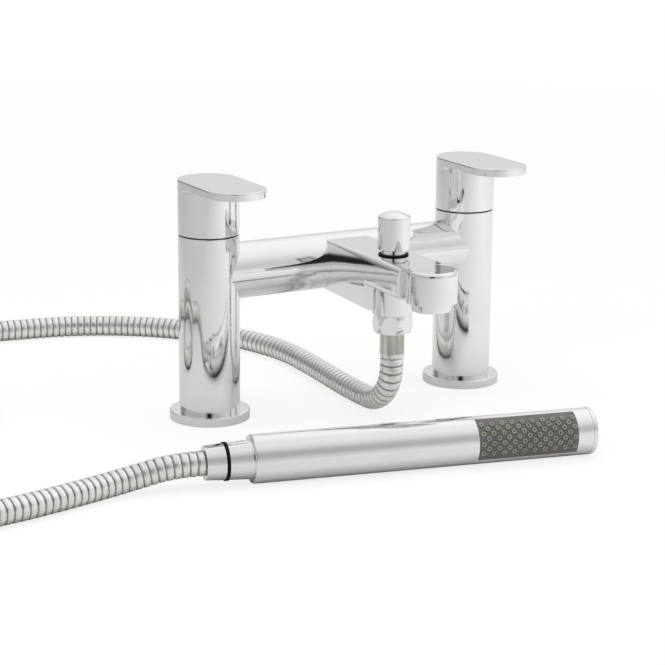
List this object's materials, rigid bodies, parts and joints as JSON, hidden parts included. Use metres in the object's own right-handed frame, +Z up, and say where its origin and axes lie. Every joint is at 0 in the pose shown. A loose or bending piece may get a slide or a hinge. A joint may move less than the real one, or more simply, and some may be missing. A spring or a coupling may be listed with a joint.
{
  "type": "bath shower mixer tap",
  "caption": "Two-pillar bath mixer with lever handles, bridge, flat spout, pull diverter, ribbed hose and a cylindrical hand shower.",
  "frame": {"origin": "midway between the two pillar axes, on the deck that the flanges stand on", "axes": "+Z up, +X from the hot pillar to the cold pillar, the spout points to -Y"},
  "size_m": [0.4736, 0.4167, 0.1466],
  "materials": {
    "chrome": "polished chrome plate",
    "steel": "satin stainless steel",
    "brass": "machined brass",
    "rubber_black": "black rubber",
    "rubber_grey": "soft grey rubber",
    "nylon_dark": "dark nylon",
    "plastic_white": "white moulded plastic",
    "ceramic": "polished ceramic",
    "spray_face": "satin dark grey plastic"
  },
  "bodies": {
    "tap": {"hot_flange": "chrome", "hot_base_seal": "rubber_black", "hot_pillar": "chrome", "hot_seat_washer": "rubber_black", "hot_cartridge_body": "brass", "hot_fixed_disc": "ceramic", "hot_gland_nut": "brass", "hot_glide_ring": "nylon_dark", "hot_bridge_sleeve": "chrome", "hot_bridge_nipple": "brass", "cold_flange": "chrome", "cold_base_seal": "rubber_black", "cold_pillar": "chrome", "cold_seat_washer": "rubber_black", "cold_cartridge_body": "brass", "cold_fixed_disc": "ceramic", "cold_gland_nut": "brass", "cold_glide_ring": "nylon_dark", "cold_bridge_sleeve": "chrome", "cold_bridge_nipple": "brass", "bridge_seals": "rubber_black", "spout_body": "chrome", "aerator_housing": "chrome", "aerator_insert": "plastic_white", "aerator_washer": "rubber_black", "diverter_bush": "chrome", "rod_seal": "rubber_black", "diverter_spring": "steel", "shower_nipple": "brass", "check_valve": "plastic_white", "check_spring": "steel", "outlet_washer": "rubber_black", "hose_hex_nut": "chrome", "hose_outlet_ferrule": "chrome", "hose_outlet_run": "steel", "hose_coil": "steel", "hose_handset_run": "steel", "handset_ferrule": "chrome"},
    "hot_handle": {"hot_lever": "chrome", "hot_lever_screw": "steel", "hot_stem": "brass", "hot_stem_seals": "rubber_black", "hot_moving_disc": "ceramic"},
    "cold_handle": {"cold_lever": "chrome", "cold_lever_screw": "steel", "cold_stem": "brass", "cold_stem_seals": "rubber_black", "cold_moving_disc": "ceramic"},
    "diverter": {"diverter_knob": "chrome", "diverter_rod": "steel", "diverter_valve": "rubber_black"},
    "poppet": {"check_poppet": "plastic_white"},
    "hand_shower": {"cone_nut": "chrome", "handset_ring": "nylon_dark", "handset_washer": "rubber_black", "handset_body": "chrome", "handset_core": "plastic_white", "spray_panel": "spray_face", "spray_nozzles": "rubber_grey", "handset_end_cap": "chrome"}
  },
  "joints": [
    {"name": "hot_lever_turn", "type": "hinge", "parent": "tap", "child": "hot_handle", "pos_m": [-0.09, 0, 0.1], "axis": [0, 0, -1], "range_deg": [0, 90]},
    {"name": "cold_lever_turn", "type": "hinge", "parent": "tap", "child": "cold_handle", "pos_m": [0.09, 0, 0.1], "axis": [0, 0, 1], "range_deg": [0, 90]},
    {"name": "diverter_lift", "type": "slide", "parent": "tap", "child": "diverter", "axis": [0, 0, 1], "range_m": [0, 0.0079], "stiffness_N_per_m": 150, "springref_m": -0.005, "deforming": ["diverter_spring"]},
    {"name": "check_valve_lift", "type": "slide", "parent": "tap", "child": "poppet", "axis": [0, 0, -1], "range_m": [0, 0.002], "stiffness_N_per_m": 60, "springref_m": -0.004, "deforming": ["check_spring"]},
    {"name": "hand_shower_swivel", "type": "hinge", "parent": "tap", "child": "hand_shower", "pos_m": [-0.12492, -0.12383, 0.0136], "axis": [0.978, -0.2084, 0], "continuous": true}
  ]
}
